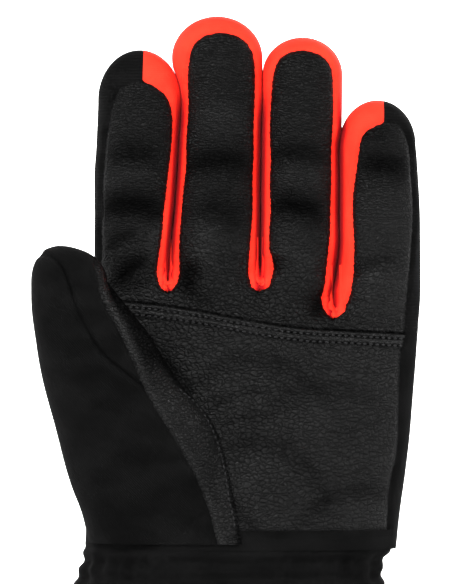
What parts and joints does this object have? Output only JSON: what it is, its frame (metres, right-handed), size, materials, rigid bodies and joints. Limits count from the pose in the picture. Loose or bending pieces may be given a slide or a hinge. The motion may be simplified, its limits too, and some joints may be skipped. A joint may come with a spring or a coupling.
{
  "type": "ski glove",
  "caption": "Left-hand insulated ski glove with a leather palm, softshell back, stretch gussets between the fingers and a hook-and-loop wrist strap.",
  "frame": {"origin": "centre of the footprint, on the plane of the cuff hem that the glove stands on", "axes": "+Z from the hem to the fingertips, -Y out of the palm, -X to the thumb side"},
  "size_m": [0.1386, 0.0886, 0.2748],
  "materials": {
    "leather": "satin",
    "softshell": "matte",
    "fourchette_fabric": "matte",
    "insulation": "matte",
    "lining": "matte",
    "loop_pile": "matte",
    "webbing": "matte",
    "hook_strip": "matte",
    "ring_plastic": "satin",
    "pull_tab_rubber": "matte"
  },
  "bodies": {
    "cuff": {"cuff_palm_panel": "softshell", "cuff_back_panel": "softshell", "wrist_elastic": "webbing", "cuff_insulation": "insulation", "cuff_lining": "lining", "hem_binding": "webbing", "strap_leg": "webbing", "loop_patch": "loop_pile", "strap_ring": "ring_plastic", "ring_keeper": "webbing", "pull_on_loop": "webbing"},
    "strap_end": {"strap_tab": "webbing", "hook_patch": "hook_strip", "pull_tab": "pull_tab_rubber"},
    "hand": {"lower_palm_leather": "leather", "upper_palm_leather": "leather", "thumb_base_leather": "leather", "palm_seam_welt": "leather", "hand_back_panel": "softshell", "hand_insulation": "insulation", "hand_lining": "lining"},
    "index_finger": {"index_palm_leather": "leather", "index_back_panel": "softshell", "index_fourchette": "fourchette_fabric", "index_side_strip": "softshell", "index_insulation": "insulation", "index_lining": "lining"},
    "middle_finger": {"middle_palm_leather": "leather", "middle_back_panel": "softshell", "middle_fourchette": "fourchette_fabric", "middle_insulation": "insulation", "middle_lining": "lining"},
    "ring_finger": {"ring_palm_leather": "leather", "ring_back_panel": "softshell", "ring_fourchette": "fourchette_fabric", "ring_insulation": "insulation", "ring_lining": "lining"},
    "little_finger": {"little_palm_leather": "leather", "little_back_panel": "softshell", "little_fourchette": "fourchette_fabric", "little_side_strip": "softshell", "little_insulation": "insulation", "little_lining": "lining"},
    "thumb": {"thumb_leather": "leather", "thumb_gusset": "softshell", "thumb_back_panel": "softshell", "thumb_insulation": "insulation", "thumb_lining": "lining"}
  },
  "joints": [
    {"name": "wrist_bend", "type": "hinge", "parent": "cuff", "child": "hand", "pos_m": [0.00004, 0.00377, 0.076], "axis": [1, 0, 0], "range_deg": [-30, 30]},
    {"name": "strap_peel", "type": "hinge", "parent": "cuff", "child": "strap_end", "pos_m": [-0.01546, 0.03917, 0.055], "axis": [0, -0.3249, 0.9457], "range_deg": [0, 140]},
    {"name": "index_bend", "type": "hinge", "parent": "hand", "child": "index_finger", "pos_m": [-0.03446, -0.00423, 0.185], "axis": [1, 0, 0], "range_deg": [0, 50]},
    {"name": "middle_bend", "type": "hinge", "parent": "hand", "child": "middle_finger", "pos_m": [-0.00446, -0.00423, 0.181], "axis": [1, 0, 0], "range_deg": [0, 75]},
    {"name": "ring_bend", "type": "hinge", "parent": "hand", "child": "ring_finger", "pos_m": [0.02604, -0.00423, 0.179], "axis": [1, 0, 0], "range_deg": [0, 75]},
    {"name": "little_bend", "type": "hinge", "parent": "hand", "child": "little_finger", "pos_m": [0.05454, -0.00423, 0.174], "axis": [1, 0, 0], "range_deg": [0, 75]},
    {"name": "thumb_bend", "type": "hinge", "parent": "hand", "child": "thumb", "pos_m": [-0.03046, -0.03223, 0.146], "axis": [0.7043, 0.5282, 0.4742], "range_deg": [0, 35]}
  ]
}
